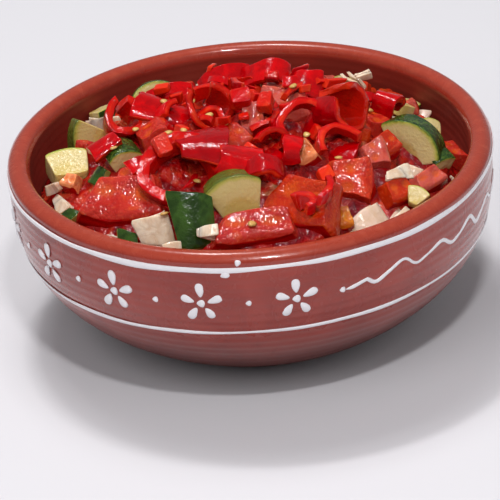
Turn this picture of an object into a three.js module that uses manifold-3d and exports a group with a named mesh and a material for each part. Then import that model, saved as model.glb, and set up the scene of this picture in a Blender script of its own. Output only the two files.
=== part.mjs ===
// A bowl of chopped salad: a round earthenware bowl with white slip trails,
// heaped with tomato, cucumber, onion, green pepper and rings of red pepper.
// Millimetres, +Z up, origin at the centre of the foot, front of the bowl towards -Y.

import * as THREE from "three";
import { mergeVertices } from "three/addons/utils/BufferGeometryUtils.js";
import Module from "manifold-3d";

const wasm = await Module();
wasm.setup();

// Bowl
const bowlHeight = 66;
const wallTop = 62.4; // height where the outer wall meets the lip
const outerRadius = 85.3; // outer wall just under the lip
const mouthRadius = 77.6; // inner wall just under the lip
const footRadius = 46.5;
const footWidth = 8;
const footDepth = 2; // height of the recess inside the foot ring
const bellyStart = 44; // the belly's curve starts here, inside the foot's outer edge
const floorHeight = 9;
const floorRadius = 38;
const bellyPower = 3.1; // how quickly the belly turns up into the wall
const innerHeights = [floorHeight, 13, 20, 30, 44]; // corners of the inner wall's profile
const roundSteps = 52; // steps round every turned surface

// White slip on the outer wall
const slipProud = 0.5;
const upperLineHeight = 60.6;
const upperLineWidth = 2.2;
const lowerLineHeight = 35.4;
const lowerLineWidth = 1.8;
const waveHeight = 50;
const waveRise = 2;
const waveCount = 20;
const waveStart = 25; // degrees from the front, turning towards +X
const waveEnd = 265;
const waveWidth = 1.5;
const flowerCount = 5;
const flowerHeight = 48;
const flowerStart = -78;
const flowerEnd = 8;
const petalCount = 5;
const petalLength = 5.4;
const petalWidth = 3;
const petalReach = 4.9; // from the middle of a flower to the middle of a petal
const bigDot = 3; // in the middle of a flower
const smallDot = 2.2; // between two flowers

// Salad
const fitGap = 0.4; // between the salad and the inside of the bowl
const coreEdge = 46; // height of the core beside the back wall
const coreTop = 70;
const coreFrontRise = 12; // the heap leans on the front of the bowl
const domePower = 1.9;
const domeShares = [0.8, 0.5, 0.25];
const mapStep = 1.5; // cell size of the height map that the pieces settle on
const restShare = 0.25; // share of a piece's footprint that sinks into what it lies on
const chunkTaper = 0.84; // size of a tomato chunk's upper face against its lower one
const chunkSlope = 0.3;
const rindFacet = 34; // degrees of arc in one side of a cucumber's rind
const stripFacet = 50; // and of a strip of pepper or onion
const seed = 20240;

// The pieces that show best, each placed by hand: x and y of its middle, its sizes, and in
// degrees its spin about its own upright, its lean about x and its turn about z, in that order.
const tomatoes = [
  { at: [27, -63], size: [7, 10, 6], spin: 0, turn: 10, lean: 45 },
  { at: [-1, -67], size: [33, 14, 7], spin: 0, turn: 6, lean: 45 },
  { at: [17, -60], size: [31, 21, 8], spin: 0, turn: -38, lean: 42 },
  { at: [-44, -41], size: [34, 20, 8], spin: 0, turn: -10, lean: 42 },
  { at: [34, -43], size: [18, 17, 9], spin: 80, turn: 10, lean: 48 },
  { at: [49, -44], size: [14, 11, 7], spin: 0, turn: 35, lean: 45 },
  { at: [60, -31], size: [16, 9, 6], spin: 0, turn: 40, lean: 42 },
  { at: [47, -15], size: [10, 11, 7], spin: 0, turn: 40, lean: 40 },
  { at: [43, -23], size: [12, 11, 7], spin: 90, turn: 20, lean: 40 },
  { at: [-63, -10], size: [7, 7, 6], spin: 0, turn: -30, lean: 35 },
  { at: [-34, 10], size: [9, 10, 7], spin: 0, turn: 0, lean: 35 },
  { at: [2, -6], size: [11, 15, 7], spin: 0, turn: 0, lean: 48 },
  { at: [19, -27], size: [9, 11, 7], spin: 30, turn: -10, lean: 45 },
  { at: [-41, -27], size: [15, 9, 6], spin: 0, turn: -5, lean: 35 },
];
const cucumbers = [
  { at: [58, -50], radius: 7, sweep: 75, thick: 4, core: 1.5, spin: 150, turn: 0, lean: 40 },
  { at: [66, -12], radius: 8, sweep: 70, thick: 6, core: 2, spin: 0, turn: 30, lean: -70 },
  { at: [58, -7], radius: 14, sweep: 125, thick: 9, core: 5, spin: 25, turn: -25, lean: -101 },
  { at: [-6, -51], radius: 15, sweep: 84, thick: 9, core: 6, spin: -12, turn: 5, lean: -99 },
  { at: [-64, 1], radius: 14, sweep: 66, thick: 8, core: 6, spin: 0, turn: 190, lean: -14 },
  { at: [-57, 22], radius: 15, sweep: 62, thick: 7, core: 2, spin: -80, turn: 25, lean: -105 },
  { at: [-45, -6], radius: 9, sweep: 90, thick: 11, core: 3, spin: 0, turn: 20, lean: -85 },
  { at: [-33, 50], radius: 11, sweep: 120, thick: 5, core: 1.5, spin: 0, turn: 225, lean: -40 },
];
const greenPeppers = [
  { at: [-20, -63], radius: 16, sweep: 50, wall: 3.5, width: 19, turn: 4, lean: -46 },
  { at: [-43, -58], radius: 10, sweep: 46, wall: 3, width: 6, turn: -30, lean: -50 },
  { at: [-53, -14], radius: 8, sweep: 50, wall: 3.5, width: 7, turn: -60, lean: -50 },
  { at: [-63, -30], radius: 7, sweep: 45, wall: 3, width: 5, turn: -60, lean: -50 },
  { at: [33, 37], radius: 12, sweep: 70, wall: 3, width: 5, turn: 20, lean: -20 },
];
const onions = [
  { at: [-28, -71], radius: 9, sweep: 50, wall: 2.5, width: 6, turn: 10, lean: -50 },
  { at: [-34, -61], radius: 14, sweep: 58, wall: 3.5, width: 13, turn: -6, lean: -40 },
  { at: [38, -62], radius: 15, sweep: 62, wall: 3, width: 11, turn: 30, lean: -45 },
  { at: [50, -57], radius: 14, sweep: 50, wall: 2.5, width: 6, turn: 42, lean: -52 },
  { at: [-16, -70], radius: 9, sweep: 50, wall: 2.5, width: 5, turn: 0, lean: -50 },
  { at: [-51, -54], radius: 9, sweep: 50, wall: 2.5, width: 6, turn: -40, lean: -50 },
  { at: [60, 32], radius: 13, sweep: 55, wall: 2.5, width: 6, turn: -20, lean: -50 },
  { at: [50, -41], radius: 11, sweep: 60, wall: 2.5, width: 5, turn: 30, lean: -40 },
  { at: [-68, -17], radius: 14, sweep: 60, wall: 2.5, width: 5, turn: -70, lean: -50 },
  { at: [71, -25], radius: 9, sweep: 60, wall: 2.5, width: 6, turn: 80, lean: -50 },
];
const redPeppers = [
  { at: [-23, -39], radius: 15, sweep: 300, wall: 4.5, width: 6, turn: 190, lean: -25 },
  { at: [-44, 11], radius: 7, sweep: 320, wall: 3, width: 9, turn: 30, lean: 45 },
  { at: [-51, -6], radius: 9, sweep: 70, wall: 3, width: 11, turn: -70, lean: -70 },
  { at: [-15, -24], radius: 13, sweep: 95, wall: 3, width: 19, turn: 92, lean: -80 },
  { at: [-30, 13], radius: 11, sweep: 80, wall: 3, width: 20, turn: 80, lean: -75 },
  { at: [-14, 7], radius: 7.5, sweep: 300, wall: 2.5, width: 12, turn: 20, lean: 60 },
  { at: [31, -9], radius: 7.5, sweep: 320, wall: 2.5, width: 15, turn: 50, lean: 72 },
  { at: [19, -16], radius: 11, sweep: 180, wall: 3, width: 5, turn: 210, lean: -30 },
  { at: [-28, 33], radius: 16, sweep: 66, wall: 2.5, width: 8, turn: 8, lean: -50 },
  { at: [-5, 33], radius: 14, sweep: 100, wall: 2.5, width: 11, turn: 8, lean: -60 },
  { at: [7, 30], radius: 11, sweep: 110, wall: 2.5, width: 9, turn: -10, lean: -60 },
  { at: [21, 21], radius: 9, sweep: 110, wall: 2.5, width: 10, turn: -30, lean: -50 },
  { at: [-5, -39], radius: 8, sweep: 200, wall: 3, width: 14, turn: 80, lean: -70 },
  { at: [4, -48], radius: 7, sweep: 150, wall: 2.5, width: 8, turn: 0, lean: -75 },
  { at: [14, -29], radius: 7, sweep: 180, wall: 3, width: 7, turn: 90, lean: -80 },
  { at: [33, -27], radius: 10, sweep: 150, wall: 2.5, width: 4, turn: 215, lean: -30 },
  { at: [49, 9], radius: 5.5, sweep: 260, wall: 2.5, width: 9, turn: 60, lean: -70 },
  { at: [24, -66], radius: 14, sweep: 50, wall: 2.5, width: 4, turn: 80, lean: 0 },
  { at: [16, -68], radius: 4.5, sweep: 200, wall: 2.5, width: 5, turn: 120, lean: 0 },
  { at: [-39, -31], radius: 6, sweep: 70, wall: 2.5, width: 6, turn: 20, lean: -70 },
];
const dice = [
  { at: [-2, -3], size: [7.5, 7, 5], turn: 12, lean: 35 },
  { at: [7, -6], size: [6, 6, 5], turn: -15, lean: 30 },
  { at: [-30, -33], size: [5, 7, 4], turn: 30, lean: 40 },
  { at: [-27, -53], size: [4, 5, 3], turn: 60, lean: 20 },
  { at: [29, 27], size: [6, 4, 3], turn: 20, lean: 10 },
  { at: [25, -45], size: [6, 6, 4], turn: 30, lean: 30 },
];
const onionBranch = [
  { at: [39, 36], radius: 16, sweep: 38, wall: 2.6, width: 4.5, turn: -62, lean: 12 },
  { at: [43, 35], radius: 14, sweep: 28, wall: 2.6, width: 4.5, turn: 15, lean: 12 },
];

// Pieces that fill the rest of the heap, largest first
const chunkCount = 90;
const chunkSpread = 72; // radius of the area that chunks are tried over
const hollowDepth = 5; // a chunk is placed only where less than this lies on the core
const bigTomato = [20, 16, 9];
const smallTomato = [15, 13, 8];
const pepperReach = 45; // nearer the middle than this, pepper takes the place of the rest
const stripCount = 44;
const stripSpread = 42;
const layerDepth = 11; // the most that these pieces stand above the core

// Small pieces of arithmetic
const radians = THREE.MathUtils.degToRad;
const goldenTurn = radians(137.508);

function makeRandom(start) {
  let state = start;
  return () => {
    state = (state * 16807) % 2147483647;
    return state / 2147483647;
  };
}
const random = makeRandom(seed);
const between = (low, high) => low + (high - low) * random();

// Place number i of count on a sunflower spiral, at the given distance from the middle
const onSpiral = (i, reach) => [
  reach * Math.cos(i * goldenTurn),
  reach * Math.sin(i * goldenTurn),
];

// Radius of the outer wall at height z: it leaves the foot flat and ends upright.
function outerWall(z) {
  const climb = Math.min(Math.max(z / wallTop, 0), 1);
  return bellyStart + (outerRadius - bellyStart) * (1 - (1 - climb) ** bellyPower);
}

function innerWall(z) {
  const climb = Math.min(Math.max((z - floorHeight) / (wallTop - floorHeight), 0), 1);
  return floorRadius + (mouthRadius - floorRadius) * (1 - (1 - climb) ** bellyPower);
}

// Height of the bare core at x, y: a dome, raised where it leans on the front wall.
function coreHeight(x, y) {
  const reach = Math.min(Math.hypot(x, y) / mouthRadius, 1);
  const front = Math.max(-y / mouthRadius, 0);
  return coreEdge + (coreTop - coreEdge) * (1 - reach ** domePower) + coreFrontRise * front * reach;
}

// Solids and meshes
function solidOf(geometry) {
  const bare = new THREE.BufferGeometry();
  bare.setAttribute("position", geometry.getAttribute("position"));
  bare.setIndex(geometry.index);
  const merged = mergeVertices(bare, 1e-4);
  const corners = Array.from(merged.index.array);
  const triVerts = [];
  for (let i = 0; i < corners.length; i += 3) {
    const [a, b, c] = corners.slice(i, i + 3);
    if (a !== b && b !== c && c !== a) triVerts.push(a, b, c);
  }
  return new wasm.Manifold(
    new wasm.Mesh({
      numProp: 3,
      vertProperties: new Float32Array(merged.getAttribute("position").array),
      triVerts: new Uint32Array(triVerts),
    }),
  );
}

// The largest closed body of a solid: loose scraps go, and sealed hollows are filled.
function mainBody(solid) {
  const bodies = solid.decompose();
  return bodies.reduce((best, body) => (body.volume() > best.volume() ? body : best));
}

function meshOf(solid, name, colour, roughness) {
  const { vertProperties, triVerts } = solid.getMesh();
  const geometry = new THREE.BufferGeometry();
  geometry.setAttribute("position", new THREE.BufferAttribute(vertProperties, 3));
  geometry.setIndex(new THREE.BufferAttribute(triVerts, 1));
  geometry.computeVertexNormals();
  const material = new THREE.MeshStandardMaterial({ color: colour, roughness, metalness: 0 });
  const mesh = new THREE.Mesh(geometry, material);
  mesh.name = name;
  return mesh;
}

function turned(profile) {
  const points = profile.map(([r, z]) => new THREE.Vector2(r, z));
  return solidOf(new THREE.LatheGeometry(points, roundSteps).rotateX(Math.PI / 2));
}

// Evenly spaced values from low to high, both ends included
function span(low, high, steps) {
  return Array.from({ length: steps + 1 }, (_, i) => low + ((high - low) * i) / steps);
}

// Bowl

// A slip line's cross-section stands proud of the wall as a low ridge.
function slipRidge(height, width) {
  return [
    [outerWall(height - width / 2), height - width / 2],
    [outerWall(height - width / 4) + slipProud, height - width / 4],
    [outerWall(height + width / 4) + slipProud, height + width / 4],
    [outerWall(height + width / 2), height + width / 2],
  ];
}

function bowlProfile() {
  const footInner = footRadius - footWidth;
  const lipMiddle = (outerRadius + mouthRadius) / 2;
  const lipHalf = (outerRadius - mouthRadius) / 2;
  const profile = [
    [0, footDepth],
    [footInner - 1, footDepth],
    [footInner, 0],
    [footRadius - 1, 0],
  ];
  for (const z of [1, 6, 13, 23]) profile.push([outerWall(z), z]);
  profile.push(...slipRidge(lowerLineHeight, lowerLineWidth));
  profile.push([outerWall(waveHeight - 3), waveHeight - 3]);
  profile.push(...slipRidge(upperLineHeight, upperLineWidth));
  for (const angle of span(0, Math.PI, 6)) {
    profile.push([
      lipMiddle + lipHalf * Math.cos(angle),
      wallTop + (bowlHeight - wallTop) * Math.sin(angle),
    ]);
  }
  for (const z of [...innerHeights].reverse()) profile.push([innerWall(z), z]);
  profile.push([0, floorHeight]);
  return profile;
}

// Point on the outer wall, at an angle in degrees from the front and a height
function onWall(angle, height, proud) {
  const reach = outerWall(height) + proud;
  return new THREE.Vector3(
    reach * Math.sin(radians(angle)),
    -reach * Math.cos(radians(angle)),
    height,
  );
}

// One trailed line: slow rises and quick falls between the two plain lines
function waveTrail() {
  const stations = span(0, waveCount, waveCount * 4);
  const points = stations.map((station) => {
    const phase = 2 * Math.PI * station;
    const rise = Math.sin(phase + 0.45 * Math.sin(phase));
    const angle = waveStart + ((waveEnd - waveStart) * station) / waveCount;
    return onWall(angle, waveHeight - waveRise * rise, 0);
  });
  const corners = span(0, 270, 3).map((angle) => [
    0.5 * waveWidth * Math.cos(radians(angle)),
    0.5 * waveWidth * Math.sin(radians(angle)),
  ]);
  const section = new THREE.Shape(corners.map(([x, y]) => new THREE.Vector2(x, y)));
  const path = new THREE.CatmullRomCurve3(points);
  const tube = { steps: stations.length - 1, extrudePath: path, bevelEnabled: false };
  return solidOf(new THREE.ExtrudeGeometry(section, tube));
}

// A low drop of slip lying on the wall, pointing along lie (degrees from level)
function slipDrop(angle, height, length, width, lie) {
  const drop = new THREE.SphereGeometry(0.5, 6, 2);
  drop.scale(length, 2 * slipProud, width);
  drop.rotateY(radians(-lie));
  drop.rotateZ(radians(angle));
  const place = onWall(angle, height, 0);
  return solidOf(drop.translate(place.x, place.y, place.z));
}

// A flower of separate petals round a dot, with a smaller dot beside it
function flower(angle) {
  const degree = 180 / (Math.PI * outerRadius); // degrees round the wall for a millimetre
  const drops = [slipDrop(angle, flowerHeight, bigDot, bigDot, 0)];
  for (let petal = 0; petal < petalCount; petal += 1) {
    const lie = 90 + (360 * petal) / petalCount;
    const across = petalReach * Math.cos(radians(lie));
    const up = petalReach * Math.sin(radians(lie));
    const place = angle + across * degree;
    drops.push(slipDrop(place, flowerHeight + up, petalLength, petalWidth, lie));
  }
  const gap = (flowerEnd - flowerStart) / (flowerCount - 1);
  drops.push(slipDrop(angle + gap / 2, flowerHeight, smallDot, smallDot, 0));
  return drops;
}

function bowl() {
  let solid = turned(bowlProfile()).add(waveTrail());
  for (const angle of span(flowerStart, flowerEnd, flowerCount - 1)) {
    for (const drop of flower(angle)) solid = solid.add(drop);
  }
  return mainBody(solid);
}

// Salad pieces, each lying flat about its own middle

function extruded(outline, depth) {
  const shape = new THREE.Shape(outline.map(([x, y]) => new THREE.Vector2(x, y)));
  const solid = new THREE.ExtrudeGeometry(shape, { depth, bevelEnabled: false });
  return solid.translate(0, 0, -depth / 2);
}

// Narrows the upper half of a piece, as a knife cutting towards the middle does
function tapered(geometry, keep) {
  const place = geometry.getAttribute("position");
  for (let i = 0; i < place.count; i += 1) {
    if (place.getZ(i) > 0) place.setXY(i, place.getX(i) * keep, place.getY(i) * keep);
  }
  return geometry;
}

// A chunk of tomato: gently curved skin on one side, cut faces on the others, and a top
// that slopes down away from the skin
function tomatoChunk([length, depth, thick]) {
  const corners = [
    [-0.5 * length, -0.38 * depth],
    [-0.17 * length, -0.49 * depth],
    [0.17 * length, -0.49 * depth],
    [0.5 * length, -0.38 * depth],
    [0.36 * length, 0.5 * depth],
    [-0.3 * length, 0.44 * depth],
  ];
  const chunk = tapered(extruded(corners, thick), chunkTaper);
  const place = chunk.getAttribute("position");
  for (let i = 0; i < place.count; i += 1) {
    place.setZ(i, place.getZ(i) * (1 - (chunkSlope * place.getY(i)) / depth));
  }
  return chunk;
}

// A sector of a cucumber slice, its middle cut off at the seeds and its rind on the arc
function cucumberSlice({ radius, sweep, thick, core }) {
  const steps = Math.max(2, Math.round(sweep / rindFacet));
  const rind = span(-sweep / 2, sweep / 2, steps).map((angle) => [
    radius * Math.sin(radians(angle)),
    radius * (0.5 - Math.cos(radians(angle))),
  ]);
  return extruded([...rind, [core, 0.5 * radius], [-core, 0.5 * radius]], thick);
}

// A curved strip of pepper or onion: part of a ring of the given wall and width
function curvedStrip({ radius, sweep, wall, width }) {
  const steps = Math.max(2, Math.round(sweep / stripFacet));
  const angles = span(-sweep / 2, sweep / 2, steps).map(radians);
  const shift = sweep < 150 ? radius - wall / 2 : 0;
  const arc = (reach) => (angle) => [
    reach * Math.sin(angle),
    shift - reach * Math.cos(angle),
  ];
  const outline = [...angles.map(arc(radius)), ...angles.reverse().map(arc(radius - wall))];
  return extruded(outline, width);
}

// A small block of pepper
function pepperDie([length, depth, thick]) {
  const corners = [
    [-0.5 * length, -0.45 * depth],
    [0.45 * length, -0.5 * depth],
    [0.5 * length, 0.5 * depth],
    [-0.42 * length, 0.45 * depth],
  ];
  return extruded(corners, thick);
}

// The heap is a height map: each piece sinks until it rests on what lies beneath it.
const mapSide = Math.ceil((2 * mouthRadius) / mapStep) + 1;
const mapPlace = (index) => index * mapStep - mouthRadius;
const heap = new Float64Array(mapSide * mapSide);
for (let row = 0; row < mapSide; row += 1) {
  for (let column = 0; column < mapSide; column += 1) {
    heap[row * mapSide + column] = coreHeight(mapPlace(column), mapPlace(row));
  }
}

// Calls visit(cell, z) for every map cell under each triangle of a piece.
function overCells(geometry, visit) {
  const place = geometry.getAttribute("position");
  const triangle = new THREE.Triangle();
  const point = new THREE.Vector3();
  const weight = new THREE.Vector3();
  for (let i = 0; i < place.count; i += 3) {
    triangle.setFromAttributeAndIndices(place, i, i + 1, i + 2);
    const heights = [triangle.a.z, triangle.b.z, triangle.c.z];
    triangle.a.z = 0;
    triangle.b.z = 0;
    triangle.c.z = 0;
    if (triangle.getArea() < 1e-6) continue;
    const box = new THREE.Box3().setFromPoints([triangle.a, triangle.b, triangle.c]);
    const low = box.min.addScalar(mouthRadius).divideScalar(mapStep).ceil();
    const high = box.max.addScalar(mouthRadius).divideScalar(mapStep).floor();
    for (let row = Math.max(low.y, 0); row <= Math.min(high.y, mapSide - 1); row += 1) {
      for (let column = Math.max(low.x, 0); column <= Math.min(high.x, mapSide - 1); column += 1) {
        point.set(mapPlace(column), mapPlace(row), 0);
        triangle.getBarycoord(point, weight);
        if (Math.min(weight.x, weight.y, weight.z) < 0) continue;
        const z = weight.x * heights[0] + weight.y * heights[1] + weight.z * heights[2];
        visit(row * mapSide + column, z);
      }
    }
  }
}

// Turns a piece to its place, and lays it along the slope of the heap where asked to
function posed(geometry, [x, y], turn, lean, onSlope) {
  geometry.rotateX(radians(lean)).rotateZ(radians(turn));
  if (onSlope) {
    const step = 1;
    const slope = new THREE.Vector3(
      coreHeight(x - step, y) - coreHeight(x + step, y),
      coreHeight(x, y - step) - coreHeight(x, y + step),
      2 * step,
    ).normalize();
    const upright = new THREE.Vector3(0, 0, 1);
    geometry.applyQuaternion(new THREE.Quaternion().setFromUnitVectors(upright, slope));
  }
  return geometry.translate(x, y, 0);
}

// Moves a piece towards the middle until it clears the wall
function keptInside(geometry) {
  const place = geometry.getAttribute("position");
  const limit = mouthRadius - fitGap;
  for (let tries = 0; tries < 12; tries += 1) {
    let over = 0;
    const away = new THREE.Vector2();
    for (let i = 0; i < place.count; i += 1) {
      const reach = Math.hypot(place.getX(i), place.getY(i)) - limit;
      if (reach > over) {
        over = reach;
        away.set(place.getX(i), place.getY(i)).setLength(reach);
      }
    }
    if (over === 0) break;
    geometry.translate(-away.x, -away.y, 0);
  }
  return geometry;
}

function settled(geometry, room) {
  const under = new Map();
  const over = new Map();
  overCells(geometry, (cell, z) => {
    under.set(cell, Math.min(z, under.get(cell) ?? Infinity));
    over.set(cell, Math.max(z, over.get(cell) ?? -Infinity));
  });
  const gaps = [...under].map(([cell, z]) => z - heap[cell]).sort((a, b) => a - b);
  const drop = gaps[Math.floor(restShare * gaps.length)];
  geometry.translate(0, 0, -drop);
  geometry.computeBoundingBox();
  const middle = geometry.boundingBox.getCenter(new THREE.Vector3());
  if (geometry.boundingBox.max.z > coreHeight(middle.x, middle.y) + room) return null;
  for (const [cell, z] of over) heap[cell] = Math.max(heap[cell], z - drop);
  return geometry;
}

const spun = (geometry, { spin }) => geometry.rotateZ(radians(spin));

// Adds a piece placed by hand to a list of solids
function place(pieces, geometry, { at, turn, lean }) {
  pieces.push(solidOf(settled(keptInside(posed(geometry, at, turn, lean, false)), Infinity)));
}

// Adds a piece of the filling, unless it would stand too high above the core
function fill(pieces, geometry, at, turn, lean) {
  const resting = settled(keptInside(posed(geometry, at, turn, lean, true)), layerDepth);
  if (resting) pieces.push(solidOf(resting));
}

// True where little lies on the core yet
function hollow([x, y]) {
  const row = Math.round((y + mouthRadius) / mapStep);
  const column = Math.round((x + mouthRadius) / mapStep);
  return heap[row * mapSide + column] < coreHeight(x, y) + hollowDepth;
}

function chosenChunks() {
  const pieces = [];
  for (const piece of tomatoes) place(pieces, spun(tomatoChunk(piece.size), piece), piece);
  for (const piece of cucumbers) place(pieces, spun(cucumberSlice(piece), piece), piece);
  for (const piece of [...greenPeppers, ...onions]) place(pieces, curvedStrip(piece), piece);
  return pieces;
}

// Tomato, cucumber, onion and tomato in turn, into each hollow from the rim inwards
function fillChunks() {
  const pieces = [];
  for (let i = 0; i < chunkCount; i += 1) {
    const reach = chunkSpread * Math.sqrt((chunkCount - i) / chunkCount);
    const at = onSpiral(i, reach);
    const [grow, turn, lean] = [between(0.6, 1.1), between(0, 360), between(-25, 25)];
    if (!hollow(at)) continue;
    const kinds = [
      () => tomatoChunk(bigTomato.map((side) => side * grow)),
      () => cucumberSlice({ radius: 14 * grow, sweep: 95, thick: 8, core: 1.5 }),
      () => curvedStrip({ radius: 14 * grow, sweep: 70, wall: 3, width: 9 * grow }),
      () => tomatoChunk(smallTomato.map((side) => side * grow)),
    ];
    const kind = i % kinds.length;
    const inner = reach < pepperReach && (kind === 1 || kind === 2);
    const pepper = { radius: 11 * grow, sweep: 120, wall: 3, width: 10 * grow };
    fill(pieces, inner ? curvedStrip(pepper) : kinds[kind](), at, turn, lean);
  }
  return pieces;
}

// Red pepper: rings and short broad strips in turn, then the chosen pieces, with the dice
// and the two branches of a piece of onion on top
function pepperStrips() {
  const pieces = [];
  for (let i = 0; i < stripCount; i += 1) {
    const [x, y] = onSpiral(i, stripSpread * Math.sqrt((i + 0.5) / stripCount));
    const [grow, turn] = [between(0.8, 1.3), between(0, 360)];
    const [sweep, lean] = [between(90, 260), between(-35, 35)];
    const at = [x, y + 2];
    const strip = { radius: 10 * grow, sweep: 0.4 * sweep, wall: 2.5, width: 10 * grow };
    const ring = { radius: 6 * grow, sweep, wall: 2.5, width: 4.5 * grow };
    if (i % 2) fill(pieces, curvedStrip(strip), at, turn, lean - 60);
    else fill(pieces, curvedStrip(ring), at, turn, lean);
  }
  for (const piece of redPeppers) place(pieces, curvedStrip(piece), piece);
  for (const piece of dice) place(pieces, pepperDie(piece.size), piece);
  for (const piece of onionBranch) place(pieces, curvedStrip(piece), piece);
  return pieces;
}

// The bare heap: it fills the bowl a little clear of the wall and ends in the dome.
function saladCore() {
  const profile = [[0, floorHeight + 2 * fitGap]];
  for (const z of innerHeights) profile.push([innerWall(z) - 2 * fitGap, z + 2 * fitGap]);
  profile.push([innerWall(coreEdge) - 2 * fitGap, coreEdge]);
  for (const share of domeShares) profile.push([share * mouthRadius, coreEdge]);
  profile.push([0, coreEdge]);
  const points = profile.map(([r, z]) => new THREE.Vector2(r, z));
  const geometry = new THREE.LatheGeometry(points, roundSteps / 2).rotateX(Math.PI / 2);
  const spot = geometry.getAttribute("position");
  for (let i = 0; i < spot.count; i += 1) {
    if (spot.getZ(i) > coreEdge - 0.01) {
      spot.setZ(i, coreHeight(spot.getX(i), spot.getY(i)));
    }
  }
  return solidOf(geometry);
}

// The room inside the bowl, carried on upwards past the top of the heap
function bowlRoom() {
  const profile = [[0, floorHeight + fitGap]];
  for (const z of [...innerHeights, wallTop, 2 * bowlHeight]) {
    profile.push([innerWall(z) - fitGap, z + fitGap]);
  }
  profile.push([0, 2 * bowlHeight + fitGap]);
  return turned(profile);
}

function salad() {
  let solid = saladCore();
  for (const piece of [...chosenChunks(), ...fillChunks(), ...pepperStrips()]) {
    solid = solid.add(piece);
  }
  return mainBody(solid.intersect(bowlRoom()));
}

const group = new THREE.Group();
group.add(meshOf(bowl(), "bowl", 0x9c4433, 0.25));
group.add(meshOf(salad(), "salad", 0xc0281a, 0.3));

export default group;
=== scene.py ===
import math

import bpy
import numpy as np
from mathutils import Matrix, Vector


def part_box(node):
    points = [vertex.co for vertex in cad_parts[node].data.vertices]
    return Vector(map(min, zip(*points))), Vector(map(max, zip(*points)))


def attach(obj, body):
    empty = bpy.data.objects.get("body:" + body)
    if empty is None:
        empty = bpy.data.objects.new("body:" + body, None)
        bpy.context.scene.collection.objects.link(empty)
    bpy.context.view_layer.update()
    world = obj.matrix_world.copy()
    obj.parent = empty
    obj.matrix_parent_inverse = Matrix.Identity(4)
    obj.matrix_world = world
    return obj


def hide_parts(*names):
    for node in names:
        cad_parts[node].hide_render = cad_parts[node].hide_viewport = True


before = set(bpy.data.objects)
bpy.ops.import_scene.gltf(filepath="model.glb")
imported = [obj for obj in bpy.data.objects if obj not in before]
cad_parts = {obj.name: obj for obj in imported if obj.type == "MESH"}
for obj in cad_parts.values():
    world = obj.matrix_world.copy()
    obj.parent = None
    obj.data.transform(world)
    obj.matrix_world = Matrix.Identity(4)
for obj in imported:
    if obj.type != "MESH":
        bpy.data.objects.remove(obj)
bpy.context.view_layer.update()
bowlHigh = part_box("bowl")[1]
print("frame loaded")

mm = 0.001
finePicks = np.random.default_rng(7)  # for small things that have no solid of their own


# Plain arithmetic

def colour(red, green, blue):
    # a screen colour of 0 to 255 a channel, as the linear colour that a shader takes
    share = np.array([red, green, blue]) / 255
    linear = np.where(share <= 0.04045, share / 12.92, ((share + 0.055) / 1.055) ** 2.4)
    return (*linear.tolist(), 1.0)


def smoothStep(low, high, value):
    # 0 below low, 1 above high, and 3t^2 - 2t^3 between
    t = np.clip((value - low) / (high - low), 0, 1)
    return t * t * (3 - 2 * t)


def aroundCircle(count):
    return np.linspace(0, 2 * math.pi, count, endpoint=False)


def zipped(*values):
    # one array from several, matched in shape, with their values side by side
    return np.stack(np.broadcast_arrays(*values), -1)


def mirrored(half, middle):
    # a row of values that ends as it begins, the other way round
    return np.concatenate([half, middle, half[::-1]])


def drawing(state):
    # a plain repeatable sequence: each state is 16807 times the last, modulo 2^31 - 1
    modulus = 2 ** 31 - 1
    while True:
        state = state * 16807 % modulus
        yield state / modulus


def ripple(points, size, amount, phase):
    # smooth unevenness: three sine waves of about the given size cross each point's place
    turns = np.array([[1.0, 0.7, -0.4], [-0.6, 1.1, 0.8], [0.5, -0.9, 1.2]])
    waves = np.sin(points @ turns.T * (2 * np.pi / size) + phase + np.array([0, 2.1, 4.4]))
    return amount * waves / 1.7


# Closed skins: a grid of rows and columns, where each row is a ring and each end a pole

class Form:
    # closed skins: their points, their faces and a number at each point for each mark
    def __init__(self, points, quads, fans, marks):
        self.points, self.quads, self.fans, self.marks = points, quads, fans, marks

    def outward(self):
        # the signed volume, a sixth of the sum of a . (b x c), is negative if inside out
        halves = np.vstack([self.fans, self.quads[:, [0, 1, 2]], self.quads[:, [0, 2, 3]]])
        a, b, c = (self.points[halves[:, i]] for i in range(3))
        if np.einsum("ij,ij->i", a, np.cross(b, c)).sum() < 0:
            self.quads, self.fans = self.quads[:, ::-1], self.fans[:, ::-1]
        return self


def closedSkin(rows, marks, first=None, last=None):
    # rows[i, j] is column j of ring i; first and last are the poles beyond the end rings,
    # each in the middle of its ring where none is given
    count, columns = rows.shape[:2]
    first = rows[0].mean(0) if first is None else first
    last = rows[-1].mean(0) if last is None else last
    points = np.vstack([first, rows.reshape(-1, 3), last])
    row, column = np.meshgrid(np.arange(count - 1), np.arange(columns), indexing="ij")
    here = 1 + row * columns + column
    beside = 1 + row * columns + (column + 1) % columns
    quads = zipped(here, beside, beside + columns, here + columns).reshape(-1, 4)
    ring = np.arange(columns)
    after = (ring + 1) % columns
    end = 1 + (count - 1) * columns
    fans = np.vstack([
        zipped(0, 1 + after, 1 + ring),
        zipped(len(points) - 1, end + ring, end + after),
    ])
    spread = {}
    for name, values in marks.items():
        values = np.broadcast_to(values, (count, columns))
        spread[name] = np.concatenate([[values[0].mean()], values.ravel(), [values[-1].mean()]])
    return Form(points, quads, fans, spread).outward()


def joined(forms):
    # several closed skins in one form
    starts = np.cumsum([0] + [len(form.points) for form in forms])
    return Form(
        np.vstack([form.points for form in forms]),
        np.vstack([form.quads + start for form, start in zip(forms, starts)]),
        np.vstack([form.fans + start for form, start in zip(forms, starts)]),
        {mark: np.concatenate([form.marks[mark] for form in forms]) for mark in forms[0].marks},
    )


def added(name, data):
    # a new object in the scene
    thing = bpy.data.objects.new(name, data)
    bpy.context.scene.collection.objects.link(thing)
    return thing


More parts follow.
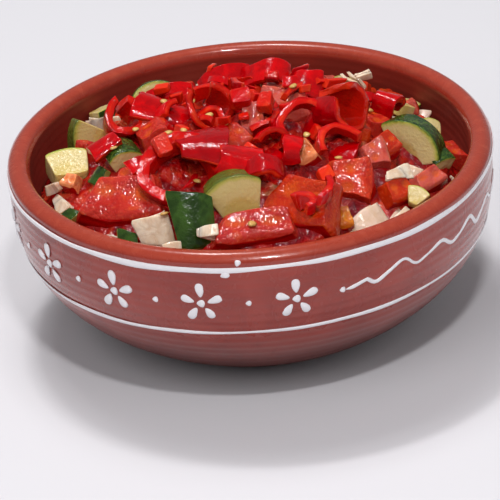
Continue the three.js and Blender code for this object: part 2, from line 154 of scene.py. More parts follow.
def meshOf(name, forms, material, slot, node):
    # makes one object at the origin of all the forms, with their marks as attributes
    whole = joined(forms)
    mesh = bpy.data.meshes.new(name)
    faces = whole.quads.tolist() + whole.fans.tolist()
    mesh.from_pydata((whole.points * mm).tolist(), [], faces)
    mesh.polygons.foreach_set("use_smooth", np.ones(len(faces), bool))
    for mark, values in whole.marks.items():
        attribute = mesh.attributes.new(mark, "FLOAT", "POINT")
        attribute.data.foreach_set("value", values.astype(np.float32))
    mesh.materials.append(material)
    piece = added(name, mesh)
    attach(piece, "root")
    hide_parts(node)
    print("made", name, "of", len(forms), "with", len(whole.fans) + 2 * len(whole.quads), "triangles")


# Shader maths: a Value wraps a socket, and its operators add Math nodes

def operator(operation, reflected=False):
    def combined(self, other):
        return self.maths(operation, other, self) if reflected else self.maths(operation, self, other)
    return combined


class Value:
    __add__ = __radd__ = operator("ADD")
    __sub__, __rsub__ = operator("SUBTRACT"), operator("SUBTRACT", True)
    __mul__ = __rmul__ = operator("MULTIPLY")
    __truediv__, __rtruediv__ = operator("DIVIDE"), operator("DIVIDE", True)
    __pow__, __rpow__ = operator("POWER"), operator("POWER", True)

    def __init__(self, paint, socket):
        self.paint, self.socket = paint, socket

    def maths(self, operation, *values):
        return self.paint.node("ShaderNodeMath", {"operation": operation}, dict(enumerate(values)))

    def sine(self):
        return self.maths("SINE", self)

    def between(self, low, high):
        # 0 at low, 1 at high, smooth between and flat beyond
        settings = {"interpolation_type": "SMOOTHSTEP"}
        return self.paint.node("ShaderNodeMapRange", settings, {0: self, 1: low, 2: high})


class Paint:
    def __init__(self, name):
        self.material = bpy.data.materials.new(name)
        self.material.use_nodes = True
        self.tree = self.material.node_tree
        self.shader = self.tree.nodes["Principled BSDF"]

    def node(self, kind, settings, sockets, output=0):
        # any node: its type, its settings first, then values or links for its sockets
        made = self.tree.nodes.new(kind)
        for key, value in settings.items():
            setattr(made, key, value)
        for key, value in sockets.items():
            self.feed(made.inputs[key], value)
        return Value(self, made.outputs[output])

    def feed(self, socket, value):
        if isinstance(value, Value):
            self.tree.links.new(value.socket, socket)
        else:
            socket.default_value = value

    def place(self):
        return self.node("ShaderNodeTexCoord", {}, {}, "Object")

    def mark(self, name):
        return self.node("ShaderNodeAttribute", {"attribute_name": name}, {}, "Fac")

    def noise(self, scale, detail=3.0, distortion=0.0, stretch=(1, 1, 1)):
        # scale in waves a metre, on the piece's own place in the frame
        spot = self.node("ShaderNodeMapping", {}, {"Vector": self.place(), "Scale": stretch})
        sockets = {"Vector": spot, "Scale": scale, "Detail": detail, "Distortion": distortion}
        return self.node("ShaderNodeTexNoise", {}, sockets, "Fac")

    def cells(self, scale):
        # distance from the nearest of many scattered points, in cells
        sockets = {"Vector": self.place(), "Scale": scale}
        return self.node("ShaderNodeTexVoronoi", {}, sockets, "Distance")

    def shade(self, value):
        return value if isinstance(value, Value) else colour(*value)

    def mix(self, factor, first, second):
        # from the first shade to the second, each a Value or a screen colour
        sockets = {0: factor, 6: self.shade(first), 7: self.shade(second)}
        return self.node("ShaderNodeMix", {"data_type": "RGBA", "clamp_factor": True}, sockets, 2)

    def layers(self, shade, others):
        # lays each further shade over the first, as far as its factor says
        for factor, other in others:
            shade = self.mix(factor, shade, other)
        return shade

    def ramp(self, factor, stops):
        # each stop is a place from 0 to 1 and a screen colour
        made = self.node("ShaderNodeValToRGB", {}, {0: factor})
        elements = made.socket.node.color_ramp.elements
        while len(elements) < len(stops):
            elements.new(0.5)
        for element, (place, shade) in zip(elements, stops):
            element.position = place
            element.color = colour(*shade)
        return made

    def bump(self, height, strength, distance):
        sockets = {"Height": height, "Strength": strength, "Distance": distance}
        return self.node("ShaderNodeBump", {}, sockets, "Normal")

    def finish(self, **sockets):
        # sets or links the shader's own sockets, an underscore standing for a space
        for key, value in sockets.items():
            self.feed(self.shader.inputs[key.replace("_", " ")], value)
        return self.material


# Bowl

bowlShape = {
    "height": bowlHigh.z / mm,
    "outerRadius": bowlHigh.x / mm - 0.5,  # the slip stands half a millimetre proud
    "wallTop": 62.4,
    "mouthRadius": 77.6,
    "footRadius": 46.5,
    "beltRadius": 44,  # where the outer wall would meet the ground
    "footWidth": 8,
    "footDepth": 2,
    "floorHeight": 9,
    "floorRadius": 38,
    "bellyPower": 3.1,
    "columns": 256,
    "throwing": 0.1,  # depth of the marks that the potter's fingers left
    "wobble": 0.22,  # how far the round is off a circle, twice a turn
    "dents": 0.12,  # the same, five times a turn
    "sag": 0.18,
    "lipEnd": 110,  # the profile's row at which the lip ends and the inner wall begins
}
degreesPerMm = math.degrees(1 / bowlShape["outerRadius"])


def easedOut(z, floor, narrow, wide):
    # radius at height z: narrow at the floor, easing out to wide at the wall's top
    climb = np.clip((z - floor) / (bowlShape["wallTop"] - floor), 0, 1)
    return narrow + (wide - narrow) * (1 - (1 - climb) ** bowlShape["bellyPower"])


def outerWall(z):
    return easedOut(z, 0, bowlShape["beltRadius"], bowlShape["outerRadius"])


def innerWall(z):
    return easedOut(z, bowlShape["floorHeight"], bowlShape["floorRadius"], bowlShape["mouthRadius"])


def bowlProfile():
    # radius and height from under the foot, up the wall, over the lip and down to the floor
    shape = bowlShape
    footInner = shape["footRadius"] - shape["footWidth"]
    quarter = np.linspace(0, math.pi / 2, 5)
    recess = zipped(np.linspace(4, footInner - 1, 8), shape["footDepth"])
    innerEdge = zipped(footInner - np.cos(quarter), 1 - np.sin(quarter))
    rim = shape["footRadius"] - 1.5
    outerEdge = zipped(rim + 1.2 * np.sin(quarter), 0.8 - 0.8 * np.cos(quarter))
    wallHeights = np.linspace(1.6, shape["wallTop"], 70)
    wall = zipped(outerWall(wallHeights), wallHeights)
    around = np.linspace(0, math.pi, 24)[1:-1]
    middle = (shape["outerRadius"] + shape["mouthRadius"]) / 2
    half = (shape["outerRadius"] - shape["mouthRadius"]) / 2
    rise = shape["height"] - shape["wallTop"]
    lip = zipped(middle + half * np.cos(around), shape["wallTop"] + rise * np.sin(around))
    innerHeights = np.linspace(shape["wallTop"], shape["floorHeight"], 50)
    inner = zipped(innerWall(innerHeights), innerHeights)
    floor = zipped(np.linspace(34, 4, 7), shape["floorHeight"])
    return np.vstack([recess, innerEdge, outerEdge, wall, lip, inner, floor])


def bowlForm():
    # the profile carried round the axis, with a slow wobble and fine throwing marks
    profile = bowlProfile()
    angle = aroundCircle(bowlShape["columns"])
    radius, height = profile[:, :1], profile[:, 1:]
    marks = bowlShape["throwing"] * np.sin(height * 1.9 + 0.4 * np.sin(angle))
    wobble = bowlShape["wobble"] * np.sin(2 * angle + 0.9)
    wobble = wobble + bowlShape["dents"] * np.sin(5 * angle + height / 20)
    reach = radius + (marks + wobble) * smoothStep(40, 60, radius)
    sag = bowlShape["sag"] * (1 - np.sin(3 * angle + 1.3)) * smoothStep(50, 66, height)
    rows = zipped(reach * np.sin(angle), -reach * np.cos(angle), height - sag)
    side = smoothStep(1, -1, np.arange(len(profile)) - bowlShape["lipEnd"])[:, None]
    first = [0, 0, bowlShape["footDepth"]]
    last = [0, 0, bowlShape["floorHeight"]]
    return closedSkin(rows, {"outside": side}, first, last)


def glaze():
    # a runny red-brown glaze: cloudy on the wall, paler where it is thin on the lip, with painted shade
    # darkening it towards the foot and over the inside
    paint = Paint("glazed_earthenware")
    height = paint.node("ShaderNodeSeparateXYZ", {}, {0: paint.place()}, "Z") / mm
    cloud = paint.noise(45, 4, 0.6)
    patch = paint.noise(120, 5, 1.2)
    # low: towards the foot, where the colour is darkened as painted shade under the bowl and the
    # surface is rougher and without coat
    low = height.between(36, 10)
    lip = height.between(62.5, 65)
    thin = paint.noise(260, 2).between(0.45, 0.75) * lip
    # inside: the colour there is darker as painted shade; the surface is also rougher and without coat
    inside = (1 - paint.mark("outside")) * (1 - lip)
    speck = paint.cells(900).between(0.16, 0.1) * paint.noise(300, 1).between(0.55, 0.7)
    body = paint.layers((136, 40, 29), [
        (cloud.between(0.3, 0.7), (154, 51, 38)),
        (patch.between(0.62, 0.75) * 0.35, (116, 32, 22)),
        # painted shade: darker towards the foot
        (low * 0.85, (58, 18, 13)),
        (lip, (152, 54, 36)),
        (thin * 0.4, (172, 76, 54)),
        # painted shade over the inside of the bowl
        (inside, (122, 39, 28)),
        (speck * 0.5, (70, 22, 16)),
    ])
    dimples = paint.noise(420, 2)
    return paint.finish(
        Base_Color=body,
        Roughness=0.22 + 0.1 * patch + 0.35 * inside + 0.35 * low,
        Normal=paint.bump(dimples, 0.12, 0.0006),
        Coat_Weight=0.6 * (1 - inside) * (1 - low),
        Coat_Roughness=0.06,
        Specular_IOR_Level=0.35,
    )


# White slip, trailed on the outer wall

slipLine = {
    "proud": 0.55,
    "sink": 0.35,
    "columns": 14,
    "start": -160,
    "end": 204,
    "stations": 520,
    "tremor": 0.18,  # the hand's unevenness, five times a turn, and a finer one beside it
    "fineTremor": 0.1,
    "overlap": 1.4,  # how far the end rises past the start
}
plainLines = [
    {"height": 60.9, "width": 2.1, "tilt": 0.25, "phase": 0.4},
    {"height": 35.3, "width": 1.6, "tilt": 0.7, "phase": 2.0},
]
waveLine = {
    "height": 50,
    "rise": 2.0,
    "count": 20,
    "stations": 18,  # of each wave
    "start": 25,
    "end": 265,
    "width": 1.45,
    "lean": 0.45,
    "uneven": 0.25,
    "tail": 2.2,  # how far the line drops where it begins
}
flowers = {
    "count": 5,
    "height": 48,
    "start": -78,
    "end": 8,
    "petals": 5,
    "petalLength": 5.4,
    "petalWidth": 3.0,
    "petalReach": 4.9,
    "dot": 3.0,
    "between": 2.2,
}
# where the trailer paused: angle, height, length, width and lie
drips = [(-7.5, 59.2, 3.4, 2.6, 20), (-4.5, 63.4, 2.4, 2.0, 70)]


def onWall(angle, height, proud):
    # angle in degrees from the front towards +X
    reach = outerWall(height) + proud
    turn = np.radians(angle)
    return zipped(reach * np.sin(turn), -reach * np.cos(turn), height)


def slipStroke(angle, height, width):
    # a half-round ridge along a path on the wall: proud times the root of 1 - across^2
    along = zipped(np.gradient(angle) / degreesPerMm, np.gradient(height))
    along /= np.linalg.norm(along, axis=1, keepdims=True)
    turn = aroundCircle(slipLine["columns"])
    across = np.cos(turn)
    proud = np.sin(turn) * np.where(np.sin(turn) > 0, slipLine["proud"], slipLine["sink"])
    half = width[:, None] / 2 * across
    swell = (width / width.max())[:, None]
    angles = angle[:, None] - half * along[:, 1:] * degreesPerMm
    heights = height[:, None] + half * along[:, :1]
    rows = onWall(angles, heights, proud * swell)
    first = onWall(angle[0], height[0], 0)
    last = onWall(angle[-1], height[-1], 0)
    return closedSkin(rows, {"thick": np.maximum(np.sin(turn), 0)[None, :] * swell}, first, last)


def taperedWidth(count, width, phase):
    # even width with a hand's unevenness, closing to a point at both ends
    t = np.linspace(0, 1, count)
    ends = np.clip(np.minimum(t, 1 - t) * count / 5, 0.12, 1) ** 0.5
    return width * ends * (1 + 0.14 * np.sin(37 * t + phase) + 0.1 * np.sin(91 * t + 2 * phase))


def plainLine(line):
    # once round the wall and a little over where it began
    angle = np.linspace(slipLine["start"], slipLine["end"], slipLine["stations"])
    turn = np.radians(angle)
    height = line["height"] + line["tilt"] * np.sin(turn)
    height += slipLine["tremor"] * np.sin(5 * turn + line["phase"])
    height += slipLine["fineTremor"] * np.sin(17 * turn + line["phase"])
    height += slipLine["overlap"] * smoothStep(slipLine["end"] - 4, slipLine["end"], angle)
    return slipStroke(angle, height, taperedWidth(len(angle), line["width"], line["phase"]))


def waveStroke():
    # slow rises and quick falls: the sine of a phase that itself swings by its sine
    count = waveLine["count"] * waveLine["stations"]
    station = np.linspace(-0.9, waveLine["count"], count)
    phase = 2 * math.pi * station
    lean = np.sin(phase + waveLine["lean"] * np.sin(phase))
    size = 1 + waveLine["uneven"] * np.sin(station * 2.3 + 1)
    rise = waveLine["rise"] * size * np.where(station < 0, 0, 1) * lean
    step = (waveLine["end"] - waveLine["start"]) / waveLine["count"]
    angle = waveLine["start"] + step * np.maximum(station, station * 0.5)
    height = waveLine["height"] - rise - waveLine["tail"] * smoothStep(0.3, -0.9, station)
    return slipStroke(angle, height, taperedWidth(count, waveLine["width"], 1.2))


def slipDrop(angle, height, length, width, lie):
    # a low dome with a drop's outline, its narrow end against the lie, in degrees from level
    around = aroundCircle(20)
    reach = np.array([0.25, 0.5, 0.75, 0.92, 1.0, 0.8])[:, None]
    proud = slipLine["proud"] * np.array([1.05, 0.95, 0.75, 0.45, -0.1, -0.5])[:, None]
    along = length / 2 * reach * np.cos(around)
    across = width / 2 * reach * np.sin(around) * (1 + 0.38 * np.cos(around))
    turn = math.radians(lie)
    right = along * math.cos(turn) - across * math.sin(turn)
    up = along * math.sin(turn) + across * math.cos(turn)
    rows = onWall(angle + right * degreesPerMm, height + up, proud)
    first = onWall(angle, height, slipLine["proud"] * 1.1)
    last = onWall(angle, height, -slipLine["proud"] * 0.6)
    return closedSkin(rows, {"thick": 1 - 0.8 * reach}, first, last)


def flower(angle, number):
    # petals round a dot, each a little off as a hand leaves it, and a small dot beside
    shape = flowers
    drops = [slipDrop(angle, shape["height"], shape["dot"], shape["dot"], 0)]
    for petal in range(shape["petals"]):
        lie = 90 + 360 * petal / shape["petals"]
        off = math.sin(7 * number + 3 * petal)
        reach = shape["petalReach"] * (1 + 0.05 * off)
        across = reach * math.cos(math.radians(lie))
        up = reach * math.sin(math.radians(lie))
        length = shape["petalLength"] * (1 + 0.08 * off)
        at = (angle + across * degreesPerMm, shape["height"] + up)
        drops.append(slipDrop(*at, length, shape["petalWidth"], lie + 5 * off))
    gap = (shape["end"] - shape["start"]) / (shape["count"] - 1)
    drops.append(slipDrop(angle + gap / 2, shape["height"], shape["between"], shape["between"], 0))
    return drops


def slipForms():
    forms = [plainLine(line) for line in plainLines]
    forms.append(waveStroke())
    for number, angle in enumerate(np.linspace(flowers["start"], flowers["end"], flowers["count"])):
        forms.extend(flower(angle, number))
    return forms + [slipDrop(*drip) for drip in drips]


def slipPaint():
    # white clay under clear glaze: pinker where it is thin and the body shows through
    paint = Paint("slip")
    thick = paint.mark("thick")
    grain = paint.noise(700, 3)
    cover = (thick + 0.5 * grain).between(0.12, 0.6)
    body = paint.mix(cover, (196, 150, 148), (232, 228, 232))
    return paint.finish(
        Base_Color=body,
        Roughness=0.3,
        Normal=paint.bump(grain, 0.15, 0.0004),
        Coat_Weight=0.5,
        Coat_Roughness=0.08,
    )


# Salad: the heap, and where each piece lies

heapShape = {
    "fitGap": 0.4,  # between the pieces and the wall
    "coreEdge": 46,
    "coreTop": 70,
    "frontRise": 12,
    "domePower": 1.9,
    "mapStep": 1.5,
    "restShare": 0.25,  # of a piece's footprint that sinks into what is beneath
    "hollowDepth": 5,  # above the dome, below which a place still counts as low
    "layerDepth": 11,  # above the dome, past which a fill piece is left out
    "nudges": 12,
}

# The pieces that show best, placed one by one at x and y. Each is spun about its own upright,
# leaned about x and turned about z, in that order, in degrees.
# Tomatoes: place, size, spin, turn, lean and tint
tomatoes = [
    ((29.5, -62), (7, 10, 6), 0, 10, 45, "golden"),
    ((-1, -67), (33, 14, 7), 0, 6, 45, "ripe"),
    ((17, -60), (31, 21, 8), 0, -38, 42, "orange"),
    ((-44, -41), (34, 20, 8), 0, -10, 42, "ripe"),
    ((34, -43), (18, 17, 9), 80, 10, 48, "warm"),
    ((49, -44), (14, 11, 7), 0, 35, 45, "orange"),
    ((60, -31), (16, 9, 6), 0, 40, 42, "pink"),
    ((47, -15), (10, 11, 7), 0, 40, 40, "orange"),
    ((43, -23), (12, 11, 7), 90, 20, 40, "pink"),
    ((-63, -10), (7, 7, 6), 0, -30, 35, "salmon"),
    ((-34, 10), (9, 10, 7), 0, 0, 35, "pink"),
    ((2, -6), (11, 15, 7), 0, 0, 48, "pink"),
    ((19, -27), (9, 11, 7), 30, -10, 45, "salmon"),
    ((-41, -27), (15, 9, 6), 0, -5, 35, "ripe"),
]
# Cucumbers: place, radius, sweep, thickness, half width of the point, spin, turn and lean
cucumbers = [
    ((58, -50), 7, 75, 4, 1.5, 150, 0, 40),
    ((66, -12), 8, 70, 6, 2, 0, 30, -70),
    ((58, -7), 14, 125, 9, 5, 25, -25, -101),
    ((-6, -51), 15, 84, 9, 6, -12, 5, -99),
    ((-64, 1), 14, 66, 8, 6, 0, 190, -14),
    ((-57, 22), 15, 62, 7, 2, -80, 25, -105),
    ((-45, -6), 9, 90, 11, 3, 0, 20, -85),
    ((-32, 47.5), 12, 150, 5, 1.5, 0, 10, -112),
]
# Peppers and onions: place, radius, sweep, wall, width, turn and lean
greenPeppers = [
    ((-20, -63), 16, 50, 3.5, 19, 4, -46),
    ((-43, -58), 10, 46, 3, 6, -30, -50),
    ((-53, -14), 8, 50, 3.5, 7, -60, -50),
    ((-63, -30), 7, 45, 3, 5, -60, -50),
    ((33, 37), 12, 70, 3, 5, 20, -20),
]
onions = [
    ((-28, -71), 9, 50, 2.5, 6, 10, -50),
    ((-34, -61), 14, 58, 3.5, 13, -6, -40),
    ((38, -62), 15, 62, 3, 11, 30, -45),
    ((50, -57), 14, 50, 2.5, 6, 42, -52),
    ((-16, -70), 9, 50, 2.5, 5, 0, -50),
    ((-51, -54), 9, 50, 2.5, 6, -40, -50),
    ((60, 32), 13, 55, 2.5, 6, -20, -50),
    ((50, -41), 11, 60, 2.5, 5, 30, -40),
    ((-68, -17), 14, 60, 2.5, 5, -70, -50),
    ((71, -25), 9, 60, 2.5, 6, 80, -50),
]
redPeppers = [
    ((-23, -39), 15, 300, 4.5, 6, 190, -25),
    ((-44, 11), 7, 320, 3, 9, 30, 45),
    ((-51, -6), 9, 70, 3, 11, -70, -70),
    ((-16, -26), 14, 112, 3, 19, 92, -80),
    ((-30, 13), 11, 80, 3, 20, 80, -75),
    ((-14, 7), 7.5, 300, 2.5, 12, 20, 60),
    ((31, -9), 7.5, 320, 2.5, 15, 50, 72),
    ((19, -16), 11, 180, 3, 5, 210, -30),
    ((-28, 33), 16, 66, 2.5, 8, 8, -50),
    ((-5, 33), 14, 100, 2.5, 11, 8, -60),
    ((7, 30), 11, 110, 2.5, 9, -10, -60),
    ((21, 21), 9, 110, 2.5, 10, -30, -50),
    ((-5, -39), 8, 200, 3, 14, 80, -70),
    ((4, -48), 7, 150, 2.5, 8, 0, -75),
    ((14, -29), 7, 180, 3, 7, 90, -80),
    ((33, -27), 10, 150, 2.5, 4, 215, -30),
    ((49, 9), 5.5, 260, 2.5, 9, 60, -70),
    ((24, -66), 14, 50, 2.5, 4, 80, 0),
    ((16, -68), 4.5, 200, 2.5, 5, 120, 0),
    ((-39, -31), 6, 70, 2.5, 6, 20, -70),
]
# Dice: place, size, turn and lean
dice = [
    ((-2, -3), (7.5, 7, 5), 12, 35),
    ((7, -6), (6, 6, 5), -15, 30),
    ((-30, -33), (5, 7, 4), 30, 40),
    ((-27, -53), (4, 5, 3), 60, 20),
    ((29, 27), (6, 4, 3), 20, 10),
    ((25, -45), (6, 6, 4), 30, 30),
]
# The two arms of a branched onion, as the onions above
onionBranch = [
    ((39, 36), 16, 38, 2.6, 4.5, -62, 12),
    ((43, 35), 14, 28, 2.6, 4.5, 15, 12),
]
smallBits = {"count": 70, "spread": 46, "side": (2.4, 5), "room": 15}
smallChunks = {"count": 260, "inner": 36, "outer": 71, "front": -12, "size": (6.5, 11), "columns": 32}
fill = {"seed": 20240, "chunks": 90, "chunkSpread": 72, "rings": 44, "ringSpread": 42}


def coreHeight(x, y):
    # a dome, raised where it leans on the front wall
    shape = heapShape
    reach = np.minimum(np.hypot(x, y) / bowlShape["mouthRadius"], 1)
    front = np.maximum(-y / bowlShape["mouthRadius"], 0)
    dome = (shape["coreTop"] - shape["coreEdge"]) * (1 - reach ** shape["domePower"])
    return shape["coreEdge"] + dome + shape["frontRise"] * front * reach


class Heap:
    # a height map of the heap: each piece sinks until it rests on what lies beneath it
    def __init__(self):
        self.edge = bowlShape["mouthRadius"]
        self.side = math.ceil(2 * self.edge / heapShape["mapStep"]) + 1
        place = np.arange(self.side) * heapShape["mapStep"] - self.edge
        self.height = coreHeight(place[None, :], place[:, None]).ravel()

    def cells(self, points):
        spot = np.rint((points[:, :2] + self.edge) / heapShape["mapStep"]).astype(int)
        spot = np.clip(spot, 0, self.side - 1)
        return spot[:, 1] * self.side + spot[:, 0]

    def lift(self, x, y):
        # how far the smoothed heap stands above the bare dome, between the map's cells
        field = self.height.reshape(self.side, self.side)
        shifts = [(down, across) for down in (-1, 0, 1) for across in (-1, 0, 1)]
        for _ in range(coreRelief["smoothing"]):
            field = np.mean([np.roll(field, shift, (0, 1)) for shift in shifts], axis=0)
        column, row = [(v + self.edge) / heapShape["mapStep"] for v in (x, y)]
        left, low = np.floor(column).astype(int), np.floor(row).astype(int)
        across, up = column - left, row - low
        below = field[low, left] * (1 - across) + field[low, left + 1] * across
        above = field[low + 1, left] * (1 - across) + field[low + 1, left + 1] * across
        return below * (1 - up) + above * up - coreHeight(x, y)

    def hollow(self, at):
        # whether the heap still lies low at a place
        cell = self.cells(np.array([[*at, 0]]))[0]
        return self.height[cell] < coreHeight(*at) + heapShape["hollowDepth"]

    def settle(self, form, share, room=math.inf):
        # the drop leaves the given share of the footprint sunk in what is beneath
        cell = self.cells(form.points)
        low = np.full(len(self.height), math.inf)
        np.minimum.at(low, cell, form.points[:, 2])
        covered = np.isfinite(low)
        gaps = np.sort((low - self.height)[covered])
        form.points[:, 2] -= gaps[int(share * len(gaps))]
        middle = (form.points.min(0) + form.points.max(0)) / 2
        if form.points[:, 2].max() > coreHeight(middle[0], middle[1]) + room:
            return False
        np.maximum.at(self.height, cell, form.points[:, 2])
        return True


def posed(form, at, turn, lean, spin=0, onSlope=False):
    # spins the piece about its own upright, leans it about x, turns it about z, and can then
    # lay it along the heap's slope
    x, y = at
    slope = np.array([
        coreHeight(x - 1, y) - coreHeight(x + 1, y),
        coreHeight(x, y - 1) - coreHeight(x, y + 1),
        2.0,
    ])
    slope /= np.linalg.norm(slope)
    axis = np.cross([0, 0, 1], slope)
    angle = math.acos(slope[2]) if onSlope else 0
    toSlope = np.array(Matrix.Rotation(angle, 3, axis if np.linalg.norm(axis) > 1e-9 else "X"))
    leaning = Matrix.Rotation(math.radians(lean), 3, "X") @ Matrix.Rotation(math.radians(spin), 3, "Z")
    own = Matrix.Rotation(math.radians(turn), 3, "Z") @ leaning
    form.points = form.points @ np.array(own).T @ toSlope.T + np.array([x, y, 0])
    return form


def keptInside(form):
    # moves a piece towards the middle until it clears the wall
    limit = bowlShape["mouthRadius"] - heapShape["fitGap"]
    for _ in range(heapShape["nudges"]):
        reach = np.hypot(form.points[:, 0], form.points[:, 1])
        worst = reach.argmax()
        if reach[worst] <= limit:
            break
        form.points[:, :2] -= form.points[worst, :2] * (1 - limit / reach[worst])
    return form


# Salad pieces, each lying flat about its own middle

stripFinish = {"columns": 28, "edge": 0.25, "squareness": 0.14, "step": 7, "ringSweep": 150}
chunkFinish = {"edge": 0.4, "columns": 72, "softness": 0.4}
dieFinish = {"columns": 32, "softness": 0.35, "edge": 0.4, "bulge": 0.1, "keep": 0.94}
onionLayers = {"count": 2, "step": 0.1, "fill": 0.96, "taper": 0.4, "squareness": 0.32}
tomatoShape = {
    "corners": [(-0.5, -0.38), (-0.17, -0.49), (0.17, -0.49), (0.5, -0.38), (0.36, 0.5), (-0.3, 0.44)],
    "cut": 0.06,  # how far the far corners shift from piece to piece
    "bulge": 0.015,
    "keep": 0.84,  # share of the outline that the top face keeps
    "wedge": 0.3,  # how much thicker the piece is at its skin
    "twist": 0.2,
    "pockets": [(0.2, 0.08, 0.02), (-0.17, 0.12, 0.018)],  # x, y and breadth squared
    "pocketLength": 0.03,  # squared too
    "pocketDepth": 0.1,
    "skinDrop": 0.3,
}
cucumberShape = {"bulge": 0.1, "keep": 0.97, "dish": 0.1}
toneSteps = {"tomato": 0.37, "cucumber": 0.41, "strip": 0.29, "die": 0.37, "fill": 0.618}


def toneOf(kind, n, first=0.0):
    # each piece's own number from 0 to 1, which sets its small unevenness and its shade
    return (n * toneSteps[kind] + first) % 1


def roundedOutline(corners, columns, softness):
    # even steps along the corners' closed line, then each step averaged with its neighbours
    loop = np.vstack([corners, corners[:1]])
    lengths = np.concatenate([[0], np.cumsum(np.linalg.norm(np.diff(loop, axis=0), axis=1))])
    steps = np.linspace(0, lengths[-1], columns, endpoint=False)
    outline = zipped(*(np.interp(steps, lengths, loop[:, axis]) for axis in range(2)))
    reach = max(1, int(round(softness * columns / lengths[-1])))
    shifts = range(-reach, reach + 1)
    return np.mean([np.roll(outline, shift, axis=0) for shift in shifts], axis=0)


def slab(outline, thick, edge, bulge, keep):
    # rings from the middle of the under face, out round the edges and back over the top:
    # caps shrink the outline, edges are quarter circles, and the sides swell by bulge
    cap = np.array([0.2, 0.4, 0.6, 0.78, 0.9])
    quarter = np.linspace(0, math.pi / 2, 5)
    sides = np.linspace(-1, 1, 7)[1:-1]
    share = mirrored(cap, np.ones(15))
    inset = mirrored(edge * np.concatenate([np.ones(5), 1 - np.sin(quarter)]), np.zeros(5))
    low = edge * np.concatenate([np.zeros(5), 1 - np.cos(quarter)])
    walls = edge + (thick - 2 * edge) * (sides + 1) / 2
    level = np.concatenate([low, walls, thick - low[::-1]]) - thick / 2
    swell = bulge * (1 - (2 * level / thick) ** 2)
    size = np.linalg.norm(outline, axis=1)[None, :]
    reach = share[:, None] * (1 + (swell - inset)[:, None] / size)
    reach = reach * (1 + (keep - 1) * smoothStep(-1, 1, 2 * level / thick))[:, None]
    rows = zipped(outline[:, 0] * reach, outline[:, 1] * reach, level[:, None])
    side = mirrored(np.concatenate([np.zeros(5), quarter * 0.64]), np.ones(5))
    return rows, side[:, None], level[:, None]


def tomatoChunk(size, tint, tone, columns=chunkFinish["columns"]):
    # rounded skin on one side, cut faces on the others, and pockets of jelly in the top face
    length, depth, thick = size
    shape = tomatoShape
    corners = np.array(shape["corners"])
    corners[4:, 0] += shape["cut"] * math.sin(tone * 57)
    outline = roundedOutline(corners * [length, depth], columns, chunkFinish["softness"])
    rows, side, level = slab(outline, thick, chunkFinish["edge"], shape["bulge"] * depth, shape["keep"])
    x, y = rows[..., 0] / length, rows[..., 1] / depth
    rows[..., 2] *= 1 - shape["wedge"] * y + shape["twist"] * math.sin(tone * 35) * x
    pockets = sum(
        np.exp(-((x - across) ** 2 / broad + (y - up) ** 2 / shape["pocketLength"]))
        for across, up, broad in shape["pockets"]
    )
    top = smoothStep(0, 0.8, 2 * level / thick)
    drop = shape["skinDrop"] * smoothStep(-0.2, -0.5, y)
    rows[..., 2] -= thick * top * (shape["pocketDepth"] * pockets + drop)
    rows += ripple(rows, 0.5 * length, 0.018 * length, tone * 40)
    rows += ripple(rows, 4.5, 0.09, tone * 90)
    onSide = side * smoothStep(-0.37, -0.4, outline[None, :, 1] / depth)
    skin = np.maximum(onSide, top * smoothStep(-0.34, -0.4, y))
    marks = {"skin": skin, "jelly": pockets * top, "tint": tint}
    return closedSkin(rows, marks)


def cucumberSlice(radius, sweep, thick, core, tone, columns=chunkFinish["columns"]):
    # a sector of a slice, its point at the seeds and its rind on the arc
    arc = np.radians(np.linspace(-sweep / 2, sweep / 2, 15))
    rind = zipped(radius * np.sin(arc), radius * (0.5 - np.cos(arc)))
    point = [[core, 0.5 * radius], [-core, 0.5 * radius]]
    outline = roundedOutline(np.vstack([rind, point]), columns, chunkFinish["softness"])
    shape = cucumberShape
    rows, side, _ = slab(outline, thick, chunkFinish["edge"], shape["bulge"], shape["keep"])
    reach = np.hypot(rows[..., 0], rows[..., 1] - 0.5 * radius) / radius
    rows[..., 2] *= 1 - shape["dish"] * smoothStep(0.6, 0.1, reach)
    rows += ripple(rows, 1.4 * radius, 0.03 * radius, tone * 40)
    marks = {"reach": reach, "rind": side * smoothStep(0.93, 0.97, reach), "tone": tone}
    return closedSkin(rows, marks)


